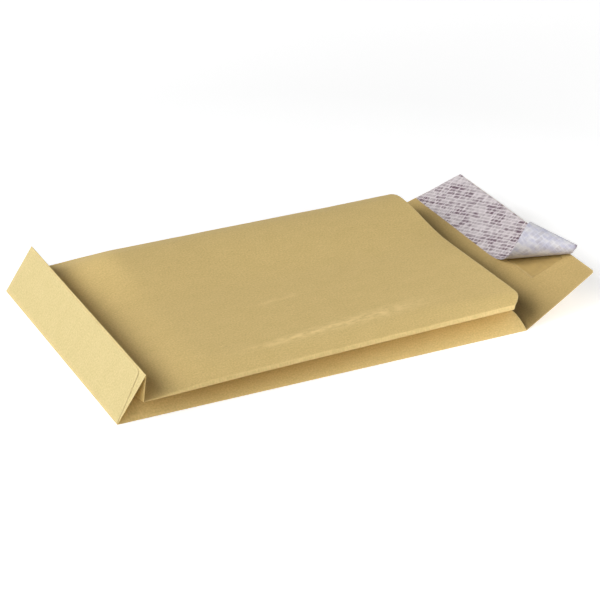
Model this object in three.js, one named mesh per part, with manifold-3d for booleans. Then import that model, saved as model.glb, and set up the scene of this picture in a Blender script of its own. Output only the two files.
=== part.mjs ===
// Gusseted paper envelope with a folded block bottom, a peel-and-seal flap and its part-peeled liner.
// Millimetres, +Z up. The origin is the centre of the back panel's underside. +X runs to the mouth.
import * as THREE from 'three'
import { mergeVertices } from 'three/addons/utils/BufferGeometryUtils.js'
import Module from 'manifold-3d'

const wasm = await Module()
wasm.setup()

// Paper sheet: a mitre reaches at most this many half thicknesses out of a sharp crease
const longestMitre = 2.2
const paperThickness = 0.3
const bodyWidth = 229
const bodyLength = 324
const gussetWidth = 40

// Block bottom, half raised and leaning towards the mouth
const blockTilt = degrees(56.2)
const stripLean = degrees(8)
const tuckTurn = degrees(70)
const frontCreaseSpread = 1.2
const bottomFlapInset = 8.5
const bottomFlapShort = 2.5
const bottomFlapRadius = 5
const bottomFlapSeat = 0.075

// Front panel, arched as a filled envelope is
const mouthCreaseHeight = 20
const farMouthCreaseHeight = 14.2
const nearRidgeRise = 6.8
const farRidgeRise = 14.5
const middleSag = 4.2
const archLength = 62
const shoulderRise = 2.8
const shoulderRun = 1.2
const ridgeInset = 28
const mouthRidgeInset = 18
const farRidgeInset = 34
const ridgeTurnLength = 90

// Shares of the length over which each gusset crease settles from the block bottom
const frontCreaseSettle = 0.33
const innerCreaseSettle = 0.2

// Mouth edge of the front panel, with a notch at each front crease
const frontPanelShort = 2
const notchDepth = 9.5
const notchReach = 14

// Closing flap
const flapLength = 71
const flapTilt = degrees(24)
const flapTaper = 12.5
const flapCornerRadius = 3

// Adhesive band and release liner on the inner face of the flap
const layerGap = 0.3
const adhesiveThickness = 0.2
const adhesiveInset = 6
const adhesiveNearEnd = 48
const linerThickness = 0.2
const linerWidth = 41
const linerEdgeInset = 0.5
const linerEndInset = 1

// Peeled end of the liner, rolled up as a paper cone
const peelCorner = 50
const peelTurn = degrees(54)
const coneApexGap = 20
const coneAngle = degrees(17)
const coneTightening = 0.3
const linerCornerCut = degrees(2)

// Mesh steps
const lengthSteps = 20
const ridgeSteps = 3
const crownSteps = 4
const gussetSteps = 3
const flapSteps = 3
const cornerSteps = 4
const linerSteps = 10
const linerFlatSteps = 3
const coneSteps = 34
const coneFineSteps = 20

const kraft = new THREE.MeshStandardMaterial({ color: 0xc8ae74, roughness: 0.85, metalness: 0 })
const adhesive = new THREE.MeshStandardMaterial({ color: 0xc2ac74, roughness: 0.35, metalness: 0 })
const releasePaper = new THREE.MeshStandardMaterial({ color: 0xd3cbd2, roughness: 0.5, metalness: 0 })

const blockHeight = gussetWidth
const gussetHalf = gussetWidth / 2
const halfLength = bodyLength / 2
const halfWidth = bodyWidth / 2
const sheetMiddle = paperThickness / 2

function degrees(angle) {
  return angle * Math.PI / 180
}

function mix(start, end, share) {
  return start + (end - start) * share
}

function smooth(share) {
  const held = Math.min(Math.max(share, 0), 1)
  return held * held * (3 - 2 * held)
}

function point(x, y, z) {
  return new THREE.Vector3(x, y, z)
}

// Lengthways places along the sheet are measured from the bottom end, crossways from the near side.
function place(alongBody, acrossBody, height) {
  return point(alongBody - halfLength, acrossBody - halfWidth, height + sheetMiddle)
}

// Sheet: an open surface collected panel by panel, with its front towards the outside.
class Sheet {
  constructor() {
    this.corners = []
  }

  triangle(a, b, c) {
    const area = b.clone().sub(a).cross(c.clone().sub(a)).length()
    if (area > 1e-6) this.corners.push(a, b, c)
  }

  // Rows of points run lengthways, columns crossways.
  panel(rows, facing = 1) {
    for (let row = 0; row + 1 < rows.length; row++) {
      for (let column = 0; column + 1 < rows[row].length; column++) {
        const quad = [rows[row][column], rows[row + 1][column],
          rows[row + 1][column + 1], rows[row][column + 1]]
        if (facing < 0) quad.reverse()
        this.triangle(quad[0], quad[1], quad[2])
        this.triangle(quad[0], quad[2], quad[3])
      }
    }
  }

  fan(centre, edge, facing = 1) {
    for (let step = 0; step + 1 < edge.length; step++) {
      if (facing > 0) this.triangle(centre, edge[step], edge[step + 1])
      else this.triangle(centre, edge[step + 1], edge[step])
    }
  }

  indexed() {
    const geometry = new THREE.BufferGeometry().setFromPoints(this.corners)
    return mergeVertices(geometry, 1e-4)
  }

  // Both faces stand half the thickness from the middle surface, mitred at each crease.
  thickened(thickness) {
    const geometry = this.indexed()
    const positions = geometry.attributes.position
    const index = Array.from(geometry.index.array)
    const offsets = vertexOffsets(positions, index)
    const outer = []
    const inner = []
    for (let vertex = 0; vertex < positions.count; vertex++) {
      const middle = point(0, 0, 0).fromBufferAttribute(positions, vertex)
      outer.push(middle.clone().addScaledVector(offsets[vertex], thickness / 2))
      inner.push(middle.clone().addScaledVector(offsets[vertex], -thickness / 2))
    }
    const faces = []
    for (let corner = 0; corner < index.length; corner += 3) {
      const [a, b, c] = index.slice(corner, corner + 3)
      faces.push(outer[a], outer[b], outer[c], inner[c], inner[b], inner[a])
    }
    for (const [start, end] of borderEdges(index)) {
      faces.push(outer[start], inner[start], inner[end])
      faces.push(outer[start], inner[end], outer[end])
    }
    return new THREE.BufferGeometry().setFromPoints(faces)
  }
}

// Each vertex moves so that it lies one unit in front of every face that meets there.
function vertexOffsets(positions, index) {
  const sums = Array.from({ length: positions.count }, () => ({
    matrix: [0, 0, 0, 0, 0, 0], normal: point(0, 0, 0)
  }))
  const corners = [point(0, 0, 0), point(0, 0, 0), point(0, 0, 0)]
  for (let first = 0; first < index.length; first += 3) {
    corners.forEach((corner, step) => corner.fromBufferAttribute(positions, index[first + step]))
    const [a, b, c] = corners
    const normal = b.clone().sub(a).cross(c.clone().sub(a)).normalize()
    corners.forEach((corner, step) => {
      const toNext = corners[(step + 1) % 3].clone().sub(corner)
      const toLast = corners[(step + 2) % 3].clone().sub(corner)
      const weight = toNext.angleTo(toLast)
      const sum = sums[index[first + step]]
      const { x, y, z } = normal
      const products = [x * x, x * y, x * z, y * y, y * z, z * z]
      products.forEach((product, entry) => { sum.matrix[entry] += weight * product })
      sum.normal.addScaledVector(normal, weight)
    })
  }
  const hold = 0.02
  return sums.map(({ matrix, normal }) => {
    const [xx, xy, xz, yy, yz, zz] = matrix
    const system = new THREE.Matrix3(xx + hold, xy, xz, xy, yy + hold, yz, xz, yz, zz + hold)
    const start = normal.clone().normalize()
    const target = normal.clone().addScaledVector(start, hold)
    return target.applyMatrix3(system.invert()).clampLength(0, longestMitre)
  })
}

function borderEdges(index) {
  const edges = new Map()
  for (let first = 0; first < index.length; first += 3) {
    for (let step = 0; step < 3; step++) {
      const start = index[first + step]
      const end = index[first + (step + 1) % 3]
      const reverse = `${end} ${start}`
      if (edges.has(reverse)) edges.delete(reverse)
      else edges.set(`${start} ${end}`, [start, end])
    }
  }
  return [...edges.values()]
}

function mirrored(vector) {
  return point(vector.x, -vector.y, vector.z)
}

// Crossways stations of the panels: shoulder, slope to the ridge, then the crown, and back.
function crossStations(nearRidge) {
  const near = sideStations(nearRidge)
  const far = sideStations(farRidgeInset).reverse().map(inset => bodyWidth - inset)
  return [...near, halfWidth, ...far]
}

function sideStations(ridge) {
  const stations = [0, shoulderRun]
  for (let step = 1; step <= ridgeSteps; step++) {
    stations.push(mix(shoulderRun, ridge, step / ridgeSteps))
  }
  for (let step = 1; step < crownSteps; step++) stations.push(mix(ridge, halfWidth, step / crownSteps))
  return stations
}

// Block bottom corners on the near side: hinge, top edge, strip crease and tuck point.
const blockTop = point(blockHeight * Math.cos(blockTilt), 0, blockHeight * Math.sin(blockTilt))
const stripFoot = point(
  blockTop.x - gussetHalf * Math.sin(stripLean),
  -frontCreaseSpread,
  blockTop.z - gussetHalf * Math.cos(stripLean)
)
const tuckPoint = point(
  blockTop.x / 2 + gussetHalf * Math.cos(tuckTurn) * Math.sin(blockTilt),
  gussetHalf * Math.sin(tuckTurn),
  blockTop.z / 2 - gussetHalf * Math.cos(tuckTurn) * Math.cos(blockTilt)
)

// Height of the line between the two front creases, which settles lower on the far side.
function creaseHeight(share, across) {
  return mix(stripFoot.z, mix(mouthCreaseHeight, farMouthCreaseHeight, across / bodyWidth), share)
}

function creaseSide(share) {
  return -frontCreaseSpread * (1 - smooth(share / frontCreaseSettle))
}

function mouthNotch(fromCrease, reach) {
  const left = Math.max(0, 1 - fromCrease / reach)
  return notchDepth * left * left
}

function nearRidgeAt(along) {
  return mix(ridgeInset, mouthRidgeInset, smooth(1 - (bodyLength - along) / ridgeTurnLength))
}

// Rise of the arched front panel above its creases: a steep shoulder, a rounded slope to the
// ridge over each side of the contents, and a shallow sag between the ridges.
function archAt(along, across) {
  const isNear = across < halfWidth
  const inset = isNear ? across : bodyWidth - across
  const swell = smooth((along - stripFoot.x) / archLength)
  if (inset <= shoulderRun) return swell * shoulderRise * inset / shoulderRun
  const ridge = isNear ? nearRidgeAt(along) : farRidgeInset
  const ridgeRise = isNear ? nearRidgeRise : farRidgeRise
  const slope = Math.min((inset - shoulderRun) / (ridge - shoulderRun), 1)
  const inward = smooth((inset - ridge) / (halfWidth - ridge))
  const middleRise = (nearRidgeRise + farRidgeRise) / 2 - middleSag
  const crown = mix(ridgeRise, middleRise, inward)
  return swell * mix(shoulderRise, crown, Math.sin(slope * Math.PI / 2))
}

function frontPanel() {
  const rows = []
  for (let row = 0; row <= lengthSteps; row++) {
    const share = row / lengthSteps
    const level = mix(stripFoot.x, bodyLength, share)
    const stations = crossStations(nearRidgeAt(level))
    rows.push(stations.map((across) => {
      const inset = Math.min(across, bodyWidth - across)
      const mouth = bodyLength - frontPanelShort - mouthNotch(inset, notchReach)
      const along = mix(stripFoot.x, mouth, share)
      const spread = creaseSide(share) * (1 - 2 * across / bodyWidth)
      return place(along, across + spread, creaseHeight(share, across) + archAt(along, across))
    }))
  }
  return rows
}

function backPanel() {
  const levels = [0]
  for (let row = 0; row <= lengthSteps; row++) levels.push(mix(gussetHalf, bodyLength, row / lengthSteps))
  return levels.map(along => crossStations(ridgeInset).map(across => place(along, across, 0)))
}

// Inner crease of the gusset: it starts at the tuck point and settles between the outer creases.
function innerCrease(share, side) {
  const height = creaseHeight(share, side)
  const depth = Math.sqrt(gussetHalf * gussetHalf - height * height / 4)
  const settle = smooth(share / innerCreaseSettle)
  return { across: mix(tuckPoint.y, depth, settle), height: mix(tuckPoint.z, height / 2, settle) }
}

// One gusset half as rows of points from its outer crease to the inner one, laid out on the near
// side with the heights of the given side.
function gussetHalfRows(side, startAlong, outerAcross, outerHeight, outerFromFront) {
  const rows = []
  for (let row = 0; row <= lengthSteps; row++) {
    const share = row / lengthSteps
    const inner = innerCrease(share, side)
    const points = []
    for (let step = 0; step <= gussetSteps; step++) {
      const part = step / gussetSteps
      const fromFront = mix(outerFromFront, gussetHalf, part)
      const short = frontPanelShort * (1 - fromFront / gussetWidth)
      const mouth = bodyLength - short - mouthNotch(fromFront, gussetWidth)
      const along = mix(mix(startAlong, tuckPoint.x, part), mouth, share)
      const across = mix(outerAcross(share), inner.across, part)
      const height = mix(outerHeight(share, side), inner.height, part)
      points.push(place(along, across, height))
    }
    rows.push(points)
  }
  return rows
}

function blockPanel() {
  const stations = crossStations(ridgeInset)
  return [
    stations.map(across => place(0, across, 0)),
    stations.map(across => place(blockTop.x, across, blockTop.z))
  ]
}

// Closing flap: straight tapered sides and rounded corners at its free edge.
function flapRows() {
  const levels = []
  for (let row = 0; row <= flapSteps; row++) {
    levels.push({ up: (flapLength - flapCornerRadius) * row / flapSteps, cut: 0 })
  }
  for (let step = 1; step <= cornerSteps; step++) {
    const turn = degrees(90) * step / cornerSteps
    levels.push({
      up: flapLength - flapCornerRadius * (1 - Math.sin(turn)),
      cut: flapCornerRadius * (1 - Math.cos(turn))
    })
  }
  return levels.map(({ up, cut }) => crossStations(ridgeInset).map((across) => {
    const inset = flapTaper * up / flapLength + cut
    const held = mix(inset, bodyWidth - inset, across / bodyWidth)
    return place(bodyLength + up * Math.cos(flapTilt), held, up * Math.sin(flapTilt))
  }))
}

function bodySheet() {
  const sheet = new Sheet()
  const front = frontPanel()
  const block = blockPanel()
  const hinge = place(0, 0, 0)
  const top = place(blockTop.x, 0, blockTop.z)
  sheet.panel(backPanel(), -1)
  sheet.panel(front)
  sheet.panel([block[1], front[0]])
  sheet.panel(block)
  sheet.panel(flapRows(), -1)
  for (const [side, turned, facing] of [[0, vector => vector, 1], [bodyWidth, mirrored, -1]]) {
    const lower = gussetHalfRows(side, gussetHalf, () => 0, () => 0, gussetWidth)
    const upper = gussetHalfRows(side, stripFoot.x, creaseSide, creaseHeight, 0)
    const tuckEnds = [[hinge, lower[0], 1], [top, upper[0], -1], [hinge, [top, upper[0].at(-1)], -1]]
    sheet.panel(lower.map(row => row.map(turned)), facing)
    sheet.panel(upper.map(row => row.map(turned)), -facing)
    for (const [centre, edge, turn] of tuckEnds) sheet.fan(turned(centre), edge.map(turned), turn * facing)
  }
  return sheet
}

// Outer bottom flap glued over the block: a plate with slanted sides and two round corners.
function bottomFlap() {
  const top = blockHeight - bottomFlapShort
  const slant = Math.atan2(bottomFlapInset, top)
  const reach = bottomFlapRadius * Math.tan((degrees(90) - slant) / 2)
  const outline = new THREE.Shape()
  const base = paperThickness
  const corner = halfWidth - bottomFlapInset
  outline.moveTo(base, -halfWidth)
  outline.lineTo(top - reach * Math.cos(slant), -corner - reach * Math.sin(slant))
  outline.quadraticCurveTo(top, -corner, top, -corner + reach)
  outline.lineTo(top, corner - reach)
  outline.quadraticCurveTo(top, corner, top - reach * Math.cos(slant), corner + reach * Math.sin(slant))
  outline.lineTo(base, halfWidth)
  outline.closePath()
  const plate = new THREE.ExtrudeGeometry(outline, {
    depth: paperThickness, bevelEnabled: false, curveSegments: cornerSteps
  })
  plate.translate(0, 0, sheetMiddle - bottomFlapSeat)
  plate.rotateY(-blockTilt)
  plate.translate(-halfLength, 0, sheetMiddle)
  return plate
}

function solidOf(geometry) {
  const bare = new THREE.BufferGeometry()
  bare.setAttribute('position', geometry.attributes.position)
  if (geometry.index) bare.setIndex(geometry.index)
  const merged = mergeVertices(bare, 1e-4)
  return new wasm.Manifold(new wasm.Mesh({
    numProp: 3,
    vertProperties: new Float32Array(merged.attributes.position.array),
    triVerts: new Uint32Array(merged.index.array)
  }))
}

function geometryOf(solid) {
  const { vertProperties, triVerts } = solid.getMesh()
  const geometry = new THREE.BufferGeometry()
  geometry.setAttribute('position', new THREE.BufferAttribute(vertProperties, 3))
  geometry.setIndex(new THREE.BufferAttribute(triVerts, 1))
  geometry.computeVertexNormals()
  return geometry
}

function envelopeBody() {
  const sheet = solidOf(bodySheet().thickened(paperThickness))
  return geometryOf(sheet.add(solidOf(bottomFlap())))
}

// On the flap, x runs up from the hinge crease, y from near to far and z out of the inner face.
const adhesiveLevel = sheetMiddle + layerGap + adhesiveThickness / 2
const linerLevel = adhesiveLevel + (adhesiveThickness + linerThickness) / 2 + layerGap
const linerTop = flapLength - linerEdgeInset
const linerFoot = linerTop - linerWidth

// Distance of the flap's slanted near edge from the side of the envelope.
function flapEdge(up) {
  return flapTaper * up / flapLength
}

function flapPoint(up, across, level) {
  return point(up, across - halfWidth, level)
}

function adhesiveStrip() {
  const sheet = new Sheet()
  const low = linerFoot + adhesiveInset
  const high = linerTop - adhesiveInset
  const edge = up => [
    flapPoint(up, adhesiveNearEnd, adhesiveLevel),
    flapPoint(up, bodyWidth - flapEdge(up) - adhesiveInset, adhesiveLevel)
  ]
  sheet.panel([edge(low), edge(high)])
  return geometryOf(solidOf(sheet.thickened(adhesiveThickness)))
}

// The liner leaves the flap along a slanted line. Beyond it the paper follows a cone whose apex
// lies on that line past the free edge, and the cone tightens as it turns.
function releaseLiner() {
  const lineDirection = point(-Math.cos(peelTurn), Math.sin(peelTurn), 0)
  const rollStart = point(-Math.sin(peelTurn), -Math.cos(peelTurn), 0)
  const apex = flapPoint(linerTop, peelCorner, linerLevel).addScaledVector(lineDirection, -coneApexGap)
  const nearCorner = flapPoint(linerTop, flapEdge(linerTop) + linerEndInset, linerLevel)
  const fullAngle = lineDirection.angleTo(nearCorner.clone().sub(apex)) - linerCornerCut

  // Straight edges of the unrolled liner, as planes across the flap.
  const topEdge = new THREE.Plane(point(1, 0, 0), -linerTop)
  const footEdge = new THREE.Plane(point(1, 0, 0), -linerFoot)
  const nearEdge = new THREE.Plane(point(-flapTaper / flapLength, 1, 0), halfWidth - linerEndInset)

  function rangeTo(edge, angle) {
    const direction = lineDirection.clone().multiplyScalar(Math.cos(angle))
      .addScaledVector(rollStart, Math.sin(angle))
    const range = -edge.distanceToPoint(apex) / edge.normal.dot(direction)
    return range > 0 ? range : Infinity
  }

  // Points of the paper on one straight line from the apex, from its inner end to its outer one.
  function coneColumn(direction, angle) {
    const inside = rangeTo(topEdge, angle)
    const outside = Math.min(rangeTo(footEdge, angle), rangeTo(nearEdge, angle))
    return Array.from({ length: linerSteps + 1 }, (_, step) =>
      apex.clone().addScaledVector(direction, mix(inside, outside, step / linerSteps)))
  }

  const rows = []
  for (let row = linerFlatSteps; row > 0; row--) {
    rows.push(coneColumn(lineDirection, 0).map((onLine) => {
      const across = bodyWidth - flapEdge(onLine.x) - linerEndInset
      return onLine.lerp(flapPoint(onLine.x, across, linerLevel), row / linerFlatSteps)
    }))
  }
  const direction = lineDirection.clone()
  const across = rollStart.clone()
  const step = fullAngle / (coneSteps * coneFineSteps)
  for (let fine = 0; fine <= coneSteps * coneFineSteps; fine++) {
    const angle = fine * step
    if (fine % coneFineSteps === 0) rows.push(coneColumn(direction, angle))
    const tight = coneAngle * (1 - coneTightening * angle / fullAngle)
    const side = direction.clone().cross(across)
    const back = direction.clone()
    direction.addScaledVector(across, step).normalize()
    across.addScaledVector(back, -step).addScaledVector(side, step / Math.tan(tight))
    across.addScaledVector(direction, -across.dot(direction)).normalize()
  }
  const sheet = new Sheet()
  sheet.panel(rows)
  return geometryOf(solidOf(sheet.thickened(linerThickness)))
}

function named(name, geometry, material) {
  const mesh = new THREE.Mesh(geometry, material)
  mesh.name = name
  return mesh
}

const envelope = new THREE.Group()
envelope.add(named('envelope_body', envelopeBody(), kraft))

const flapFrame = new THREE.Group()
flapFrame.position.set(halfLength, 0, sheetMiddle)
flapFrame.rotation.y = -flapTilt
flapFrame.add(named('adhesive_strip', adhesiveStrip(), adhesive))
flapFrame.add(named('release_liner', releaseLiner(), releasePaper))
envelope.add(flapFrame)

export default envelope
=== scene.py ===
import math

import bpy
import numpy as np
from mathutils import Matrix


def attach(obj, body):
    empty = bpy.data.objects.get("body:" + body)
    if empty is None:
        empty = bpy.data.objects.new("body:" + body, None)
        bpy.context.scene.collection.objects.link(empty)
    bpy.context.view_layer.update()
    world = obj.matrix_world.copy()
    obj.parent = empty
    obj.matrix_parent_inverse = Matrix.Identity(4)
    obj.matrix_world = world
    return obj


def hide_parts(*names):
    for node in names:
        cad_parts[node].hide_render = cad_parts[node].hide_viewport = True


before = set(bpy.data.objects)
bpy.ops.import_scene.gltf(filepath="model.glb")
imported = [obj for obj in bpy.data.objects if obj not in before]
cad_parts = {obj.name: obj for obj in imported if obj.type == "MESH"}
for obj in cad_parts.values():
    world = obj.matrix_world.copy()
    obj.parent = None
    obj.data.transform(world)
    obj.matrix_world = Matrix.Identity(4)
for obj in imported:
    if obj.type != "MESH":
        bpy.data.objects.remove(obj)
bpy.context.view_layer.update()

print("frame loaded")

# Lengths are in millimetres and angles in degrees. A mesh is turned into metres where it is made.
# A wave is written as its height, the size of its cells and its random seed.
envelope = {
    "width": 229.0,
    "length": 324.0,
    "gusset": 40.0,
    "thickness": 0.3,
    "blockTilt": 56.2,       # the block bottom, up from the table
    "stripLean": 8.0,        # the strip between block and front panel, out of upright
    "tuckTurn": 70.0,
    "creaseSpread": 1.2,     # the front creases bow out at the bottom end
    "creaseSettle": 0.33,    # and are straight from this share of their length on
    "innerSettle": 0.2,      # as the inner gusset creases are from this one on
    "mouthCrease": 20.0,     # height of the near front crease at the mouth
    "farMouthCrease": 14.2,
    "nearRidge": 6.8,        # rise of the front panel's arch over its near crease
    "farRidge": 14.5,
    "middleSag": 4.2,
    "archLength": 62.0,      # over which the arch rises from the bottom end
    "shoulderRise": 2.8,     # the steep first part of the arch
    "shoulderRun": 1.2,
    "ridgeInset": 28.0,
    "mouthRidgeInset": 18.0,
    "farRidgeInset": 34.0,
    "ridgeTurn": 90.0,       # over which the near ridge moves out towards the mouth
    "frontShort": 2.0,
    "notchDepth": 9.5,
    "notchReach": 14.0,
    "flapLength": 71.0,
    "flapTilt": 24.0,
    "flapTaper": 12.5,
    "flapRadius": 3.0,
    "flapBow": (0.45, 47, 31),
    "flapBowRise": 18.0,     # the flap's waves start at its hinge and are full this far up
    "gussetSwell": 1.3,      # the lower gusset half swells out at the mouth
    "gussetSwellRise": 1.2,
    "gussetSink": 0.25,
    "gussetWave": (0.3, 34, 13),
    "gussetWaveRise": 14.0,
    "halvesApart": 50.0,     # so that the two halves of a gusset have different waves
    "bulge": (0.4, 58, 4),   # the soft waves of the front panel
    "bulgeStretch": 1.3,
    "cockle": (0.09, 19, 9),
    "rubbed": (0.12, 7, 21),  # small waves on the near ridge, in the rubbed stretch
    "rubbedStretch": 1.6,
    "rubbedReach": 9.0,
    "rubbedStart": 90.0,
    "rubbedRun": 60.0,
    "waveInset": 14.0,       # all waves are held still at the creases and free this far in
    "waveRise": 12.0,
    "foldWear": 0.8,         # how far the worn, paler paper reaches from a fold
    "gussetFoldWear": 0.7,
    "creaseWearAndHighlight": 0.35,      # on the sharp front creases, worn and with a painted highlight
    "shoulderHighlight": 0.4,     # and a painted highlight of the bend at the foot of the arch above them
    # how strong the painted highlight at the arch's foot is
    "shoulderHighlightShare": 0.8,
    "cutReach": 0.35,        # how far the pale fibres reach from a cut edge
    "flapCutReach": 0.7,
    "rowStep": 3.2,
    "columnStep": 3.2,
}


# A step that starts and ends level: 3t2 - 2t3, held from 0 to 1.
def smooth(t):
    t = np.clip(t, 0, 1)
    return t * t * (3 - 2 * t)


# A share of the way along the straight line from start to end.
def between(start, end, share):
    return start + (end - start) * share


# 1 on an edge, falling to 1/e at the reach and so on towards 0.
def nearEdge(distance, reach):
    return np.exp(-distance / reach)


# Random heights from -1 to 1 on a square grid, joined by smooth steps.
def softNoise(x, y, cell, seed):
    grid = np.random.default_rng(seed).uniform(-1, 1, (64, 64))
    u, v = x / cell + 31.3, y / cell + 17.7
    i, j = np.floor(u).astype(int), np.floor(v).astype(int)
    a, b = smooth(u - i), smooth(v - j)
    low = between(grid[i % 64, j % 64], grid[(i + 1) % 64, j % 64], a)
    high = between(grid[i % 64, (j + 1) % 64], grid[(i + 1) % 64, (j + 1) % 64], a)
    return between(low, high, b)


# The same noise, raised to the wave's own height.
def waveAt(wave, x, y):
    height, cell, seed = wave
    return height * softNoise(x, y, cell, seed)


# Places along a panel: fine by both of its edges, so that a fold turns sharply, and even between.
def stations(length, step):
    fine = np.array([0, 0.2, 0.5, 0.8, 1.1, 1.3, 1.7, 2.4, 3.6, 5.2])
    count = max(2, int(round((length - 2 * fine[-1]) / step)))
    middle = np.linspace(fine[-1], length - fine[-1], count + 1)[1:-1]
    return np.concatenate([fine, middle, length - fine[::-1]])


# The same places as shares from 0 to 1, with about the given count of steps.
def shares(count):
    return stations(100, 100 / count) / 100


# Welds panels into one sheet. Each is a grid of points, its facing, how near a fold and a cut edge its points
# are, and their places along and around the unfolded paper. Points that meet to a micrometre become one, and
# a square with two equal corners becomes a triangle.
def sheetObject(name, panels, materials, thickness):
    points, quads, folds, cuts, papers, start = [], [], [], [], [], 0
    for grid, facing, fold, cut, (alongPaper, aroundPaper) in panels:
        shape = grid.shape[:2]
        index = start + np.arange(shape[0] * shape[1]).reshape(shape)
        quad = np.stack([index[:-1, :-1], index[1:, :-1], index[1:, 1:], index[:-1, 1:]], -1)
        quads.append(quad.reshape(-1, 4)[:, ::facing])
        points.append(grid.reshape(-1, 3))
        folds.append(np.broadcast_to(fold, shape).ravel())
        cuts.append(np.broadcast_to(cut, shape).ravel())
        flat = [np.broadcast_to(place, shape).ravel() for place in (alongPaper, aroundPaper, 0)]
        papers.append(np.stack(flat, -1))
        start += index.size
    points, quads = np.concatenate(points), np.concatenate(quads)
    kept, first, where = np.unique(np.round(points, 3), axis=0, return_index=True, return_inverse=True)
    where = where.ravel()
    quads = where[quads]
    fold, cut = np.zeros(len(kept)), np.zeros(len(kept))
    np.maximum.at(fold, where, np.concatenate(folds))
    np.maximum.at(cut, where, np.concatenate(cuts))
    same = quads == np.roll(quads, -1, axis=1)
    whole = quads[same.sum(1) == 0]
    pinched, at = quads[same.sum(1) == 1], same[same.sum(1) == 1].argmax(1)
    triangles = np.stack([pinched[np.arange(len(pinched)), (at + turn) % 4] for turn in (1, 2, 3)], -1)
    mesh = bpy.data.meshes.new(name)
    mesh.from_pydata((points[first] / 1000).tolist(), [], whole.tolist() + triangles.tolist())
    for label, values in (("fold", fold), ("cut", cut)):
        mesh.attributes.new(label, "FLOAT", "POINT").data.foreach_set("value", values.astype(np.float32))
    paper = np.concatenate(papers)[first].astype(np.float32) / 1000
    mesh.attributes.new("paper", "FLOAT_VECTOR", "POINT").data.foreach_set("vector", paper.ravel())
    return finished(name, mesh, materials, thickness)


# Smooth shading, half the paper's thickness to each side, and a finish for front, back and cut edge.
def finished(name, mesh, materials, thickness):
    mesh.polygons.foreach_set("use_smooth", np.ones(len(mesh.polygons), bool))
    for material in materials:
        mesh.materials.append(material)
    piece = bpy.data.objects.new(name, mesh)
    bpy.context.scene.collection.objects.link(piece)
    solidify = piece.modifiers.new("paper thickness", "SOLIDIFY")
    solidify.thickness = thickness / 1000
    solidify.offset = 0
    solidify.material_offset = 1
    solidify.material_offset_rim = 2
    return piece


# Lengthways places run from the bottom end, crossways from the near side, as the solids' do.
def placed(along, across, height):
    e = envelope
    along, across, height = np.broadcast_arrays(along, across, height)
    return np.stack([along - e["length"] / 2, across - e["width"] / 2, height + e["thickness"] / 2], -1)


# Block top, strip crease and tuck point on the near side, as lengthways place, inset and height. The block
# leans at its tilt, the strip goes down by half a gusset, and the tuck stands out from the block's middle.
def blockCorners():
    e, half = envelope, envelope["gusset"] / 2
    tilt, lean, turn = (math.radians(e[k]) for k in ("blockTilt", "stripLean", "tuckTurn"))
    top = np.array([e["gusset"] * math.cos(tilt), 0, e["gusset"] * math.sin(tilt)])
    foot = top + [-half * math.sin(lean), -e["creaseSpread"], -half * math.cos(lean)]
    tuck = top / 2 + half * np.array([math.cos(turn) * math.sin(tilt), math.sin(turn),
                                      -math.cos(turn) * math.cos(tilt)])
    return top, foot, tuck


blockTop, stripFoot, tuckPoint = blockCorners()


# A front crease goes straight from the strip's foot to its height at the mouth, which is lower on the far
# side.
def creaseHeight(share, across):
    e = envelope
    return between(stripFoot[2], between(e["mouthCrease"], e["farMouthCrease"], across / e["width"]), share)


# How far the front creases stand out, which a smooth step takes away.
def creaseSide(share):
    return -envelope["creaseSpread"] * (1 - smooth(share / envelope["creaseSettle"]))


# The mouth's edge is cut back by the square of what is left of the reach.
def mouthNotch(fromCrease, reach):
    left = np.clip(1 - fromCrease / reach, 0, None)
    return envelope["notchDepth"] * left * left


# Rise of the front panel: a steep shoulder, a quarter sine to the ridge and a shallow sag, and all of it
# growing from nothing at the bottom end by a smooth step.
def archAt(along, across):
    e = envelope
    near = across < e["width"] / 2
    inset = np.where(near, across, e["width"] - across)
    turned = smooth(1 - (e["length"] - along) / e["ridgeTurn"])
    ridge = np.where(near, between(e["ridgeInset"], e["mouthRidgeInset"], turned), e["farRidgeInset"])
    ridgeRise = np.where(near, e["nearRidge"], e["farRidge"])
    middle = (e["nearRidge"] + e["farRidge"]) / 2 - e["middleSag"]
    slope = np.clip((inset - e["shoulderRun"]) / (ridge - e["shoulderRun"]), 0, 1)
    crown = between(ridgeRise, middle, smooth((inset - ridge) / (e["width"] / 2 - ridge)))
    shoulder = e["shoulderRise"] * np.clip(inset / e["shoulderRun"], 0, 1)
    rise = shoulder + (crown - e["shoulderRise"]) * np.sin(slope * np.pi / 2)
    return smooth((along - stripFoot[0]) / e["archLength"]) * rise


# The front panel: a straight line between its two creases, plus the arch, plus waves held still at the folds.
def frontPanel(rows, columns):
    e = envelope
    share, across = rows[:, None], columns[None, :]
    inset = np.minimum(across, e["width"] - across)
    level = between(stripFoot[0], e["length"], share)
    mouth = e["length"] - e["frontShort"] - mouthNotch(inset, e["notchReach"])
    along = between(stripFoot[0], mouth, share)
    spread = creaseSide(share) * (1 - 2 * across / e["width"])
    held = smooth((inset - e["shoulderRun"]) / e["waveInset"]) * smooth(share * e["waveRise"])
    rub = smooth(1 - np.abs(inset - e["ridgeInset"]) / e["rubbedReach"])
    rub = rub * smooth((along - e["rubbedStart"]) / e["rubbedRun"]) * (across < e["width"] / 2)
    waves = waveAt(e["bulge"], along, across * e["bulgeStretch"]) + waveAt(e["cockle"], along, across)
    waves = waves + rub * waveAt(e["rubbed"], along, across * e["rubbedStretch"])
    height = creaseHeight(share, across) + archAt(level, across) + held * waves
    toMouth = (mouth - along) + 0 * across
    # Painted highlight: paler lines along the front creases, where the paper is also worn, and along the bend
    # at the arch's foot.
    shoulder = e["shoulderHighlightShare"] * nearEdge(np.abs(inset - e["shoulderRun"]), e["shoulderHighlight"])
    sides = np.maximum(nearEdge(inset, e["creaseWearAndHighlight"]), shoulder)
    fold = np.maximum(sides + 0 * share, nearEdge(along - stripFoot[0], e["foldWear"]))
    grid = placed(along, across + spread, height)
    return grid, 1, fold, nearEdge(toMouth, e["cutReach"]), (along, across)


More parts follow.
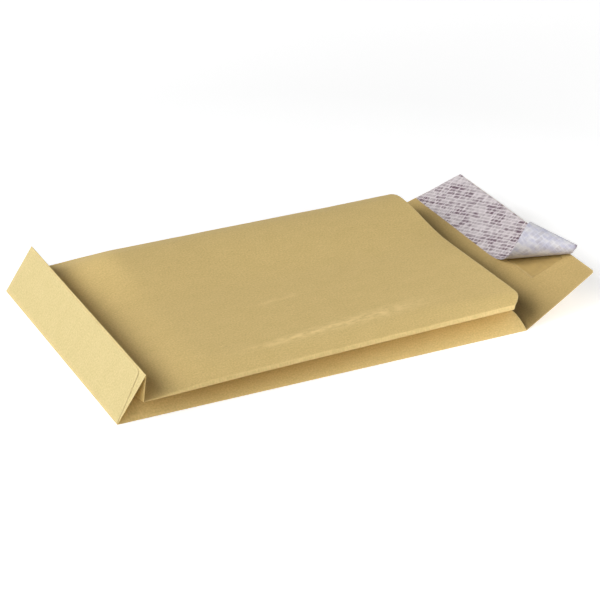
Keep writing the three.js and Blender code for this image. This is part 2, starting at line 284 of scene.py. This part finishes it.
# The back panel: flat on the table, from the block's hinge to the flap's.
def backPanel(rows, columns, steps):
    e = envelope
    half = e["gusset"] / 2
    along = np.concatenate([half * steps[:-1], between(half, e["length"], rows)])[:, None]
    across = columns[None, :]
    inset = np.minimum(across, e["width"] - across)
    toEnd = np.minimum(along, e["length"] - along)
    grid = placed(along, across, 0 * (along + across))
    fold = np.maximum(nearEdge(inset, e["foldWear"]), nearEdge(toEnd, e["foldWear"]))
    return grid, -1, fold, 0.0, (along, -e["gusset"] - across)


# Wear by both sides of a strip that is half a gusset wide.
def stripWear(steps):
    half = envelope["gusset"] / 2
    return nearEdge(half * np.minimum(steps, 1 - steps), envelope["gussetFoldWear"])


# Half a gusset: straight lines between its outer crease and the inner one, which settles midway between the
# outer two, with a sine of waves and swell between. It is laid out on the near side, with the given side's
# heights.
def gussetHalf(rows, steps, isUpper, side):
    e = envelope
    half = e["gusset"] / 2
    share, part = rows[:, None], steps[None, :]
    crease = creaseHeight(share, side)
    outerHeight = crease if isUpper else 0 * share
    outerAcross = creaseSide(share) if isUpper else 0 * share
    settle = smooth(share / e["innerSettle"])
    depth = np.sqrt(half * half - crease ** 2 / 4)
    innerAcross = between(tuckPoint[1], depth, settle)
    innerHeight = between(tuckPoint[2], crease / 2, settle)
    fromFront = between(0 if isUpper else e["gusset"], half, part)
    mouth = e["length"] - e["frontShort"] * (1 - fromFront / e["gusset"])
    mouth = mouth - mouthNotch(fromFront, e["gusset"])
    startAlong = stripFoot[0] if isUpper else half
    along = between(between(startAlong, tuckPoint[0], part), mouth, share)
    across = between(outerAcross, innerAcross, part)
    held = np.sin(np.pi * part) * smooth(share * e["gussetWaveRise"])
    swell = (0 if isUpper else e["gussetSwell"] * smooth(e["gussetSwellRise"] * share)) - e["gussetSink"]
    bend = held * (waveAt(e["gussetWave"], along, part * half + e["halvesApart"] * isUpper) + swell)
    height = between(outerHeight, innerHeight, part) + bend
    grid = placed(along, across, height)
    cut = nearEdge(mouth - along, e["cutReach"])
    return grid, -1 if isUpper else 1, stripWear(part) + 0 * share, cut, (along, -fromFront)


# A triangle: straight lines from one corner to points along the opposite side.
def tuckPanel(centre, edge, steps, facing):
    grid = centre + (edge[None] - centre) * steps[:, None, None]
    return grid, facing, stripWear(steps)[:, None], 0.0, (grid[..., 0] + envelope["length"] / 2, grid[..., 2])


# How far the flap's slanted sides have come in.
def slantedEdge(up):
    return envelope["flapTaper"] * up / envelope["flapLength"]


# Places on the open flap: up from its hinge, across from the near side, and out of its inner face, to which
# its soft waves are added.
def flapPlaced(up, across, out):
    e, tilt = envelope, math.radians(envelope["flapTilt"])
    out = out + waveAt(e["flapBow"], up, across) * smooth(up / e["flapBowRise"])
    return placed(e["length"] + up * math.cos(tilt) - out * math.sin(tilt), across,
                  up * math.sin(tilt) + out * math.cos(tilt))


# The open flap: straight tapered sides and two round corners, whose rows come in by a quarter circle.
def flapPanel(columns):
    e = envelope
    radius = e["flapRadius"]
    straight = stations(e["flapLength"] - radius, e["rowStep"])
    turn = np.linspace(0, np.pi / 2, 8)[1:]
    up = np.concatenate([straight, e["flapLength"] - radius * (1 - np.sin(turn))])[:, None]
    corner = np.concatenate([0 * straight, radius * (1 - np.cos(turn))])[:, None]
    inset = slantedEdge(up) + corner
    across = between(inset, e["width"] - inset, columns[None, :] / e["width"])
    toSide = np.minimum(across - inset, e["width"] - inset - across)
    toEdge = np.minimum(toSide, e["flapLength"] - up + 0 * across)
    cut = nearEdge(toEdge, e["flapCutReach"]) * smooth(up / 2)
    fold = nearEdge(up + 0 * across, e["foldWear"])
    return flapPlaced(up, across, 0), -1, fold, cut, (e["length"] + up, -e["gusset"] - across)


# The folded and glued kraft sheet, welded panel by panel along its creases. Block bottom and strip are
# straight lines between their creases, and each gusset has two halves and three triangles of its tuck.
def envelopeSheet(materials):
    e = envelope
    rows = stations(e["length"] - stripFoot[0], e["rowStep"]) / (e["length"] - stripFoot[0])
    columns = stations(e["width"], e["columnStep"])
    steps = np.array([0, 0.015, 0.05, 0.12, 0.24, 0.38, 0.5, 0.62, 0.76, 0.88, 0.95, 0.985, 1])
    level = steps[:, None]
    front, back = frontPanel(rows, columns), backPanel(rows, columns, steps)
    hinge = placed(0, columns, 0 * columns)
    top = placed(blockTop[0], columns, blockTop[2] + 0 * columns)
    block = hinge[None] + (top - hinge)[None] * level[..., None]
    strip = top[None] + (front[0][0] - top)[None] * level[..., None]
    sides = nearEdge(np.minimum(columns, e["width"] - columns), e["foldWear"])[None]
    ends = np.maximum(stripWear(level), sides)
    panels = [front, back, flapPanel(columns),
              (block, 1, ends, 0.0, (-e["gusset"] * level, -e["gusset"] - columns)),
              (strip, 1, ends, 0.0, (stripFoot[0] - e["gusset"] / 2 * (1 - level), columns))]
    for side, turned in ((0, 1), (e["width"], -1)):
        lower, upper = (gussetHalf(rows, steps, isUpper, side) for isUpper in (False, True))
        tuckLine = top[0] + (lower[0][0, -1] - top[0]) * level
        half = [lower, upper, tuckPanel(hinge[0], lower[0][0], steps, 1),
                tuckPanel(top[0], upper[0][0], steps, -1), tuckPanel(hinge[0], tuckLine, steps, -1)]
        for grid, facing, fold, cut, (alongPaper, aroundPaper) in half:
            paper = (alongPaper, aroundPaper * turned + side)
            panels.append((grid * [1, turned, 1], turned * facing, fold, cut, paper))
    return sheetObject("kraft_sheet", panels, materials, e["thickness"])


bottomFlap = {
    "inset": 8.5,
    "short": 1.4,            # of the block's top edge
    "radius": 5.0,
    "cornerShare": 0.8,      # its corners are rounded less crossways
    "hingeInset": 0.4,
    "hingeRows": (0.35, 0.8, 2.0),
    "thickness": 0.16,
    "lift": 0.24,            # its glued face off the block's middle surface
    "edgeCurl": 0.3,         # its cut edge stands off a little more
    "edgeCurlReach": 1.6,
    "edgeEven": 0.75,        # the even share of that stand-off, beside its wave
    "edgeWave": (0.25, 17, 5),
    "foldWear": 1.0,
}


# The outer bottom flap: a plate with slanted sides and two round corners, its cut edges just off the block.
def bottomFlapSheet(materials):
    e, b, tilt = envelope, bottomFlap, math.radians(envelope["blockTilt"])
    top = e["gusset"] - b["short"]
    turn = np.linspace(0, np.pi / 2, 10)[1:]
    middle = np.linspace(b["hingeRows"][-1], top - b["radius"], 12)
    straight = np.concatenate([b["hingeRows"][:-1], middle])
    up = np.concatenate([straight, top - b["radius"] * (1 - np.sin(turn))])[:, None]
    corner = np.concatenate([0 * straight, b["radius"] * b["cornerShare"] * (1 - np.cos(turn))])[:, None]
    inset = b["hingeInset"] + b["inset"] * up / top + corner
    columns = stations(e["width"], e["columnStep"])[None, :]
    across = between(inset, e["width"] - inset, columns / e["width"])
    toEdge = np.minimum(np.minimum(across - inset, e["width"] - inset - across), top - up + 0 * across)
    curl = b["edgeCurl"] * nearEdge(toEdge, b["edgeCurlReach"])
    out = b["lift"] + curl * (b["edgeEven"] + waveAt(b["edgeWave"], up, across))
    grid = placed(up * math.cos(tilt) - out * math.sin(tilt), across,
                  up * math.sin(tilt) + out * math.cos(tilt))
    fold, cut = nearEdge(up + 0 * across, b["foldWear"]), nearEdge(toEdge, e["cutReach"])
    panel = (grid, 1, fold, cut, (-up, -e["gusset"] - across))
    return sheetObject("bottom_flap", [panel], materials, b["thickness"])


liner = {
    "width": 41.0,
    "topInset": 0.5,
    "endInset": 1.0,
    "thickness": 0.11,
    "level": 0.75,           # out of the flap's middle surface
    "peelCorner": 50.0,      # where the paper leaves the flap's free edge
    "peelTurn": 54.0,        # and how far from square to the hinge it does so
    "apexGap": 20.0,
    "coneAngle": 17.0,
    "tightening": 0.3,
    "cornerCut": 2.0,
    "flatWave": (0.25, 23, 8),
    "flatWaveRise": 12.0,
    "farCurl": 1.1,          # the far end stands off, most at the free edge
    "farCurlReach": 7.0,
    "farCurlFrom": 35.0,
    "farCurlRun": 36.0,
    "flatRows": 60,
    "coneRows": 110,
    "coneSteps": 24,         # small steps from one row of the cone to the next
    "columns": 30,
    "endPaintedShade": 1.5,         # width of the painted shade at the roll's end, in the print's colour
    "endPaintedShadeTurn": 1.2,     # in radians, over which it comes in
}

adhesive = {
    "inset": 6.0,
    "nearEnd": 48.0,
    "endWave": (0.5, 6, 3),
    "level": 0.24,
    "thickness": 0.06,
    "rows": 14,
    "columns": 40,
}


# A thin even film under the liner, with a softly uneven near end.
def adhesiveFilm(materials):
    a, top = adhesive, envelope["flapLength"] - liner["topInset"]
    up = np.linspace(top - liner["width"] + a["inset"], top - a["inset"], a["rows"])[:, None]
    start = a["nearEnd"] + waveAt(a["endWave"], up, 0 * up)
    across = between(start, envelope["width"] - slantedEdge(up) - a["inset"], shares(a["columns"])[None, :])
    grid = flapPlaced(up, across, a["level"])
    return sheetObject("adhesive_film", [(grid, -1, 0.0, 0.0, (up, across))], materials, a["thickness"])


# Directions of the straight lines of a paper cone. Each step turns the line on the unit sphere by the paper's
# own angle, and bends its path by one over the tangent of the cone's half angle.
def coneLines(line, roll, fullAngle):
    n = liner
    fine, total = n["coneSteps"], n["coneRows"] * n["coneSteps"]
    step = fullAngle / total
    direction, across, found = line.copy(), roll.copy(), [line.copy()]
    for turn in range(total):
        tight = math.radians(n["coneAngle"]) * (1 - n["tightening"] * turn / total)
        side, back = np.cross(direction, across), direction.copy()
        direction = direction + across * step
        direction /= np.linalg.norm(direction)
        across = across - back * step + side * step / math.tan(tight)
        across -= direction * across.dot(direction)
        across /= np.linalg.norm(across)
        if turn % fine == fine - 1:
            found.append(direction.copy())
    return np.array(found)


# The liner's near end before it is rolled: a fan of straight lines from the cone's apex, each from the free
# edge to the liner's foot or its slanted end, whichever is nearer.
def linerFan():
    e, n = envelope, liner
    top, slant = e["flapLength"] - n["topInset"], e["flapTaper"] / e["flapLength"]
    turn = math.radians(n["peelTurn"])
    line = np.array([-math.cos(turn), math.sin(turn), 0])
    roll = np.array([-math.sin(turn), -math.cos(turn), 0])
    apex = np.array([top, n["peelCorner"], 0]) - line * n["apexGap"]
    corner = np.array([top, slant * top + n["endInset"], 0]) - apex
    fullAngle = math.acos(corner.dot(line) / np.linalg.norm(corner)) - math.radians(n["cornerCut"])
    angle = np.linspace(0, fullAngle, n["coneRows"] + 1)[:, None]
    flat = np.cos(angle) * line + np.sin(angle) * roll
    inside = (apex[0] - top) / -flat[:, 0]
    toFoot = np.where(flat[:, 0] < 0, (top - n["width"] - apex[0]) / flat[:, 0], np.inf)
    closing = np.minimum(flat[:, 1] - slant * flat[:, 0], -1e-6)
    toEnd = (slant * apex[0] + n["endInset"] - apex[1]) / closing
    outside = np.minimum(toFoot, toEnd)
    return apex, coneLines(line, roll, fullAngle), flat, angle, inside[:, None], outside[:, None]


# The release liner: flat on the flap up to a slanted line, and beyond it rolled as a paper cone whose apex
# lies on that line past the free edge. Each point keeps its length along its line of the fan.
def linerSheet(materials):
    e, n = envelope, liner
    slant = e["flapTaper"] / e["flapLength"]
    apex, lines, flat, angle, inside, outside = linerFan()
    share = shares(n["columns"])[None, :]
    length = between(inside, outside, share)[..., None]
    solid, unrolled = apex + lines[:, None, :] * length, apex + flat[:, None, :] * length
    start = unrolled[0]
    farEnd = np.stack([start[:, 0], e["width"] - slant * start[:, 0] - n["endInset"], 0 * start[:, 0]], -1)
    level = start + (farEnd - start) * shares(n["flatRows"])[::-1][:-1, None, None]
    paper, whole = np.concatenate([level, unrolled]), np.concatenate([level, solid])
    up, across, out = whole[..., 0], whole[..., 1], whole[..., 2]
    isFlat = (np.arange(len(whole)) < len(level))[:, None]
    curl = n["farCurl"] * nearEdge(e["width"] - slant * up - across, n["farCurlReach"])
    curl = curl * smooth((up - n["farCurlFrom"]) / n["farCurlRun"])
    held = smooth((across - start[:, 1]) / n["flatWaveRise"]) * isFlat
    lift = held * (waveAt(n["flatWave"], up, across) + curl)
    grid = flapPlaced(up, across, out + n["level"] + lift)
    # Painted shade: the roll's end is darkened, more as the roll turns, and carried in the liner's cut
    # attribute.
    shade = nearEdge(share * (outside - inside), n["endPaintedShade"]) * smooth(angle / n["endPaintedShadeTurn"])
    cut = np.concatenate([0 * level[..., 0], shade])
    return sheetObject("release_liner_sheet", [(grid, -1, 0.0, cut, (paper[..., 0], paper[..., 1]))],
                       materials, n["thickness"])


finish = {
    "kraft": (0.672, 0.496, 0.198),
    # the block bottom's colour, greyer and less yellow: a painted sheen of its lit face
    "kraftBottomPaintedSheen": (0.575, 0.467, 0.212),
    "kraftInside": (0.54, 0.385, 0.15),
    "kraftCut": (0.72, 0.58, 0.32),
    "kraftRoughness": 0.62,
    "kraftInsideRoughness": 0.74,
    "paleGain": 1.24,        # worn paper and the painted highlights are this much brighter, and paler by the lift
    "paleLift": 0.05,
    # paler blotches on the front panel; the first is a painted highlight along its near ridge
    "paleBlotches": [
        # where along the paper each starts, is full, fades and ends, its middle and its reach around the
        # paper at both ends, and its strength, all places in metres
        # painted highlight along the near ridge
        (0.088, 0.14, 0.22, 0.275, (0.0205, 0.034), (0.0035, 0.014), 1.0),
        # a smaller paler blotch further from the near side
        (0.142, 0.152, 0.175, 0.192, (0.084, 0.089), (0.004, 0.005), 0.4),
    ],
    "adhesive": (0.46, 0.32, 0.115),
    "linerPaper": (0.74, 0.68, 0.69),
    "linerPrint": (0.12, 0.06, 0.088),
    "linerBack": (0.64, 0.63, 0.65),
    "linerBackCool": (0.49, 0.49, 0.59),
    "linerCut": (0.75, 0.72, 0.75),
    "printTurn": 68.0,       # the rows of the print, from the flap's upward direction
    "printStray": (0.0022, 0.0016, 0),
    "printBar": 0.0108,      # length of a bar and height of a row, in metres
    "printRow": 0.0035,
    "printGap": 0.0005,
}


def darker(colour, share):
    return tuple(share * c for c in colour)


# Short words for building the nodes of a material or of the world.
class Nodes:
    def __init__(self, owner, surface="Principled BSDF"):
        owner.use_nodes = True
        self.owner, self.tree = owner, owner.node_tree
        self.surface = self.tree.nodes[surface]

    def add(self, kind, inputs=None, **settings):
        node = self.tree.nodes.new("ShaderNode" + kind)
        for key, value in settings.items():
            setattr(node, key, value)
        for key, value in (inputs or {}).items():
            self.feed(node.inputs[key], value)
        return node

    # Links another node's output, or sets a plain value.
    def feed(self, socket, value):
        if isinstance(value, bpy.types.NodeSocket):
            self.tree.links.new(value, socket)
        else:
            socket.default_value = (*value, 1) if socket.type == "RGBA" and len(value) == 3 else value

    # Fills the inputs of the surface and hands back the material or world.
    def surfaced(self, inputs):
        for key, value in inputs.items():
            self.feed(self.surface.inputs[key], value)
        return self.owner

    def math(self, operation, first, second=0.0, held=False):
        return self.add("Math", {0: first, 1: second}, operation=operation, use_clamp=held).outputs[0]

    # A straight line from toLow at low to toHigh at high, held at both.
    def spread(self, value, low, high, toLow=0.0, toHigh=1.0):
        inputs = {"Value": value, "From Min": low, "From Max": high, "To Min": toLow, "To Max": toHigh}
        return self.add("MapRange", inputs).outputs[0]

    def noise(self, where, scale, size=(1, 1, 1), detail=2.0):
        moved = self.add("Mapping", {"Vector": where, "Scale": size}).outputs[0]
        return self.add("TexNoise", {"Vector": moved, "Scale": scale, "Detail": detail}).outputs["Fac"]

    def mixed(self, share, first, second, how="MIX"):
        node = self.add("Mix", {"Factor": share}, data_type="RGBA", blend_type=how)
        for socket, value in zip([i for i in node.inputs if i.type == "RGBA"], (first, second)):
            self.feed(socket, value)
        return next(o for o in node.outputs if o.type == "RGBA")

    def bump(self, height, distance):
        return self.add("Bump", {"Strength": 0.3, "Distance": distance, "Height": height}).outputs[0]

    def attribute(self, name, output="Fac"):
        return self.add("Attribute", attribute_name=name).outputs[output]


def newMaterial(name):
    return Nodes(bpy.data.materials.new(name))


# Machine-glazed kraft: a fine lengthways grain with fibres, a greyer, less yellow colour on the block bottom
# that is a painted sheen of its lit face, and paler along folds, worn, and with a painted highlight on the
# front creases and the arch's foot, and in blotches, one of them a painted highlight along the near ridge. The
# paper's own places run along it in x and around it in y.
def kraftPaper(name, colour, roughness):
    n = newMaterial(name)
    paper = n.attribute("paper", "Vector")
    along, around = n.add("SeparateXYZ", {0: paper}).outputs[:2]
    grain = n.noise(paper, 1.0, (90, 1500, 1), 3.0)
    fibre = n.noise(paper, 760.0, detail=5.0)
    cloud = n.noise(paper, 90.0, (0.7, 1, 1), 2.0)
    tone = n.math("ADD", n.spread(grain, 0.3, 0.7, -0.03, 0.03), n.spread(fibre, 0.3, 0.7, -0.12, 0.12))
    tone = n.math("ADD", tone, n.spread(cloud, 0.3, 0.7, -0.02, 0.02))
    even, blue = n.math("ADD", tone, 1.0), n.math("ADD", n.math("MULTIPLY", tone, 1.6), 1.0)
    shade = n.add("CombineColor", {0: even, 1: even, 2: blue}).outputs[0]
    # Painted sheen: the block bottom, where the paper runs below 0, gets a greyer, less yellow colour, as its
    # lit face looks.
    ground = n.mixed(n.spread(along, 0.0005, -0.0005), colour, finish["kraftBottomPaintedSheen"])
    base = n.mixed(1.0, ground, shade, "MULTIPLY")
    specks = n.spread(n.noise(paper, 420.0, (0.5, 1, 1), 0.0), 0.78, 0.82, 0.0, 0.2)
    base = n.mixed(specks, base, darker(colour, 0.6))
    blotches = n.spread(n.noise(paper, 1.0, (130, 300, 1), 4.0), 0.36, 0.6, 0.1, 1.0)
    pale = tuple(min(1, finish["paleGain"] * c + finish["paleLift"]) for c in colour)
    # Paler blotches, the first painted as the highlight along the near ridge.
    for start, full, fading, end, middles, reaches, strength in finish["paleBlotches"]:
        away = n.math("ABSOLUTE", n.math("SUBTRACT", around, n.spread(along, start, end, *middles)))
        near = n.math("SUBTRACT", 1.0, n.math("DIVIDE", away, n.spread(along, start, end, *reaches)), True)
        band = n.math("MULTIPLY", near, n.spread(along, start, full))
        band = n.math("MULTIPLY", band, n.spread(along, end, fading))
        base = n.mixed(n.math("MULTIPLY", n.math("MULTIPLY", band, blotches), strength), base, pale)
    # Paler along folds: wear, and on the front creases and the arch's foot a painted highlight.
    fold = n.math("MULTIPLY", n.attribute("fold"), n.spread(grain, 0.35, 0.6, 0.2, 0.5))
    base = n.mixed(fold, base, pale)
    base = n.mixed(n.math("MULTIPLY", n.attribute("cut"), 0.6), base, finish["kraftCut"])
    height = n.math("ADD", n.math("MULTIPLY", grain, 0.5), n.math("MULTIPLY", fibre, 0.7))
    return n.surfaced({
        "Base Color": base,
        "Roughness": n.spread(fibre, 0.25, 0.75, roughness - 0.06, roughness + 0.08),
        "Specular IOR Level": 0.3,
        "Normal": n.bump(height, 0.0001),
    })


# Bare fibres where the kraft is cut, in two mottled shades.
def kraftCutEdge():
    n = newMaterial("kraft cut edge")
    tone = n.spread(n.noise(n.add("TexCoord").outputs["Object"], 1500.0), 0.3, 0.7)
    return n.surfaced({
        "Base Color": n.mixed(tone, finish["kraftCut"], darker(finish["kraftCut"], 0.8)),
        "Roughness": 0.85,
    })


# A clear film over kraft: a little darker and smoother than bare kraft, with faint streaks along it.
def adhesiveFinish():
    n = newMaterial("adhesive film")
    paper = n.attribute("paper", "Vector")
    streak = n.noise(paper, 1.0, (900, 30, 1), 2.0)
    cloud = n.noise(paper, 160.0)
    tone = n.math("ADD", n.spread(streak, 0.3, 0.7, -0.05, 0.05), n.spread(cloud, 0.3, 0.7, 0.94, 1.06))
    shade = n.add("CombineColor", {0: tone, 1: tone, 2: tone}).outputs[0]
    return n.surfaced({
        "Base Color": n.mixed(1.0, finish["adhesive"], shade, "MULTIPLY"),
        "Roughness": n.spread(cloud, 0.3, 0.7, 0.44, 0.54),
        "Normal": n.bump(streak, 0.00008),
    })


# A generic print: slanted staggered rows of short strokes. A brick pattern gives each bar its length and ink,
# a fine wave breaks it into strokes, a slow one wears it, and a third sets the rows a little astray.
def linerPattern(n, paper):
    rotation = (0, 0, math.radians(finish["printTurn"]))
    turned = n.add("Mapping", {"Vector": paper, "Rotation": rotation}).outputs[0]
    astray = n.add("TexNoise", {"Vector": turned, "Scale": 190.0}).outputs["Color"]
    steps = {0: astray, 1: finish["printStray"], 2: turned}
    moved = n.add("VectorMath", steps, operation="MULTIPLY_ADD").outputs[0]
    bars = n.add("TexBrick", {
        "Vector": moved, "Scale": 1.0, "Mortar Size": finish["printGap"], "Mortar Smooth": 0.3,
        "Brick Width": finish["printBar"], "Row Height": finish["printRow"], "Bias": 0.2,
        "Color1": (1, 1, 1), "Color2": (0.35, 0.35, 0.35), "Mortar": (0, 0, 0),
    }, offset=0.37, offset_frequency=3, squash=0.62, squash_frequency=2)
    strokes = n.spread(n.noise(moved, 1.0, (1350, 60, 1), 1.0), 0.38, 0.52, 0.12, 1.0)
    worn = n.spread(n.noise(turned, 150.0, (0.5, 1, 1)), 0.3, 0.6, 0.45, 1.0)
    return n.math("MULTIPLY", n.math("MULTIPLY", bars.outputs["Color"], strokes), worn)


# The print on pale coated paper with a faint cloud.
def linerPrintedFace():
    n = newMaterial("release liner printed face")
    paper = n.attribute("paper", "Vector")
    ink = n.math("MULTIPLY", linerPattern(n, paper), 1.6, True)
    cloud = n.spread(n.noise(paper, 200.0), 0.3, 0.7, 0.0, 0.12)
    ground = n.mixed(cloud, finish["linerPaper"], darker(finish["linerPaper"], 0.8))
    return n.surfaced({
        "Base Color": n.mixed(ink, ground, finish["linerPrint"]),
        "Roughness": n.spread(n.noise(paper, 500.0), 0.3, 0.7, 0.42, 0.56),
    })


# The release side: pale lilac and satin, mottled, with the print showing through faintly, and painted dark at
# the end of the roll, where the print's colour stands for the print inside the roll and for the shade of its
# opening.
def linerReleaseFace():
    n = newMaterial("release liner silicone face")
    paper = n.attribute("paper", "Vector")
    ink = n.math("MULTIPLY", linerPattern(n, paper), 0.34)
    mottle = n.spread(n.noise(paper, 130.0, (1, 1.6, 1), 3.0), 0.4, 0.6)
    ground = n.mixed(mottle, finish["linerBack"], finish["linerBackCool"])
    rolled = n.mixed(ink, ground, finish["linerPrint"])
    # Painted shade at the roll's end, in the print's colour.
    end = n.math("MULTIPLY", n.attribute("cut"), 0.9)
    return n.surfaced({
        "Base Color": n.mixed(end, rolled, finish["linerPrint"]),
        "Roughness": n.spread(n.noise(paper, 300.0), 0.3, 0.7, 0.3, 0.42),
    })


outside = kraftPaper("kraft outside", finish["kraft"], finish["kraftRoughness"])
inside = kraftPaper("kraft inside", finish["kraftInside"], finish["kraftInsideRoughness"])
kraftRim = kraftCutEdge()
film = adhesiveFinish()
printed, silicone = linerPrintedFace(), linerReleaseFace()
linerRim = newMaterial("release liner cut edge").surfaced({"Base Color": finish["linerCut"]})
print("finishes made")

for piece, node, slot in (
    (envelopeSheet([outside, inside, kraftRim]), "envelope_body", "kraft_paper"),
    (bottomFlapSheet([outside, inside, kraftRim]), "envelope_body", "kraft_paper"),
    (adhesiveFilm([film, film, film]), "adhesive_strip", "adhesive"),
    (linerSheet([printed, silicone, linerRim]), "release_liner", "release_paper"),
):
    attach(piece, "root")
    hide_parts(node)
    print(piece.name, "made,", len(piece.data.vertices), "points")

view = {
    "place": (-0.6451, -1.4048, 0.7791),  # in metres
    "turn": 25.72,           # from +Y towards +X
    "down": 26.49,
    "lens": 138.42,
    "sensor": 36,
}

camera = bpy.data.objects.new("camera", bpy.data.cameras.new("camera"))
bpy.context.scene.collection.objects.link(camera)
camera.location = view["place"]
camera.rotation_euler = (math.radians(90 - view["down"]), 0, math.radians(-view["turn"]))
camera.data.lens = view["lens"]
camera.data.sensor_width = view["sensor"]
bpy.context.scene.camera = camera

studio = {
    "world": 0.01,
    "lamps": [
        # name, direction from +X towards +Y, height in degrees, distance and size in metres, and watts
        ("left window, back part", 150, 20, 3.0, 1.3, 43.0),
        ("left window, upper part", 180, 45, 3.0, 1.3, 27.0),
        ("left window, front part", 200, 35, 3.0, 1.3, 29.0),
        ("left window, near part", 225, 28, 3.0, 1.3, 19.0),
        ("near reflector", 321, 10.6, 0.65, 0.25, 2.1),
        ("right reflector", 330, 40, 0.8, 0.3, 0.5),
    ],
    "floor": (0.86, 0.86, 0.86),
    "floorReach": 6.0,
    "floorLevel": -0.0001,
    # white added for what looks straight at the floor: between which distances, in metres, and how much
    "glow": (0.45, 1.4, 0.46, 0.95),
}


# A square lamp at a direction and height seen from the origin, which it faces.
def lamp(name, direction, height, distance, size, watts):
    light = bpy.data.lights.new(name, "AREA")
    light.shape, light.size, light.energy = "SQUARE", size, watts
    owner = bpy.data.objects.new(name, light)
    turn, lift = math.radians(direction), math.radians(height)
    level = distance * math.cos(lift)
    owner.location = (level * math.cos(turn), level * math.sin(turn), distance * math.sin(lift))
    owner.rotation_euler = (-owner.location).to_track_quat("-Z", "Y").to_euler()
    bpy.context.scene.collection.objects.link(owner)


# 1 where the camera, a gloss or a see-through surface looks straight at it, and 0 for light that bounces.
def seenDirectly(n):
    path = n.add("LightPath")
    total = path.outputs["Is Camera Ray"]
    for name in ("Is Glossy Ray", "Is Transmission Ray"):
        total = n.math("ADD", total, path.outputs[name], True)
    return total


# White where it is seen, and all but dark as a light.
def paleWorld():
    world = bpy.data.worlds.new("studio")
    bpy.context.scene.world = world
    n = Nodes(world, "Background")
    n.surfaced({"Color": (1, 1, 1), "Strength": n.spread(seenDirectly(n), 0.0, 1.0, studio["world"], 1.0)})


# A pale matt floor that the camera sees near white and that keeps the object's shadow.
def whiteFloor():
    mesh = bpy.data.meshes.new("floor")
    reach, level = studio["floorReach"], studio["floorLevel"]
    corners = [(x * reach, y * reach, level) for x, y in ((-1, -1), (1, -1), (1, 1), (-1, 1))]
    mesh.from_pydata(corners, [], [(0, 1, 2, 3)])
    n = newMaterial("floor")
    place = n.add("TexCoord").outputs["Object"]
    away = n.add("VectorMath", {0: place}, operation="LENGTH").outputs["Value"]
    mesh.materials.append(n.surfaced({
        "Base Color": studio["floor"],
        "Roughness": 1.0,
        "Specular IOR Level": 0.0,
        "Emission Color": (1, 1, 1),
        "Emission Strength": n.math("MULTIPLY", seenDirectly(n), n.spread(away, *studio["glow"])),
    }))
    floor = bpy.data.objects.new("floor", mesh)
    bpy.context.scene.collection.objects.link(floor)


for settings in studio["lamps"]:
    lamp(*settings)
paleWorld()
whiteFloor()
bpy.context.scene.view_settings.view_transform = "Standard"
print("studio made")
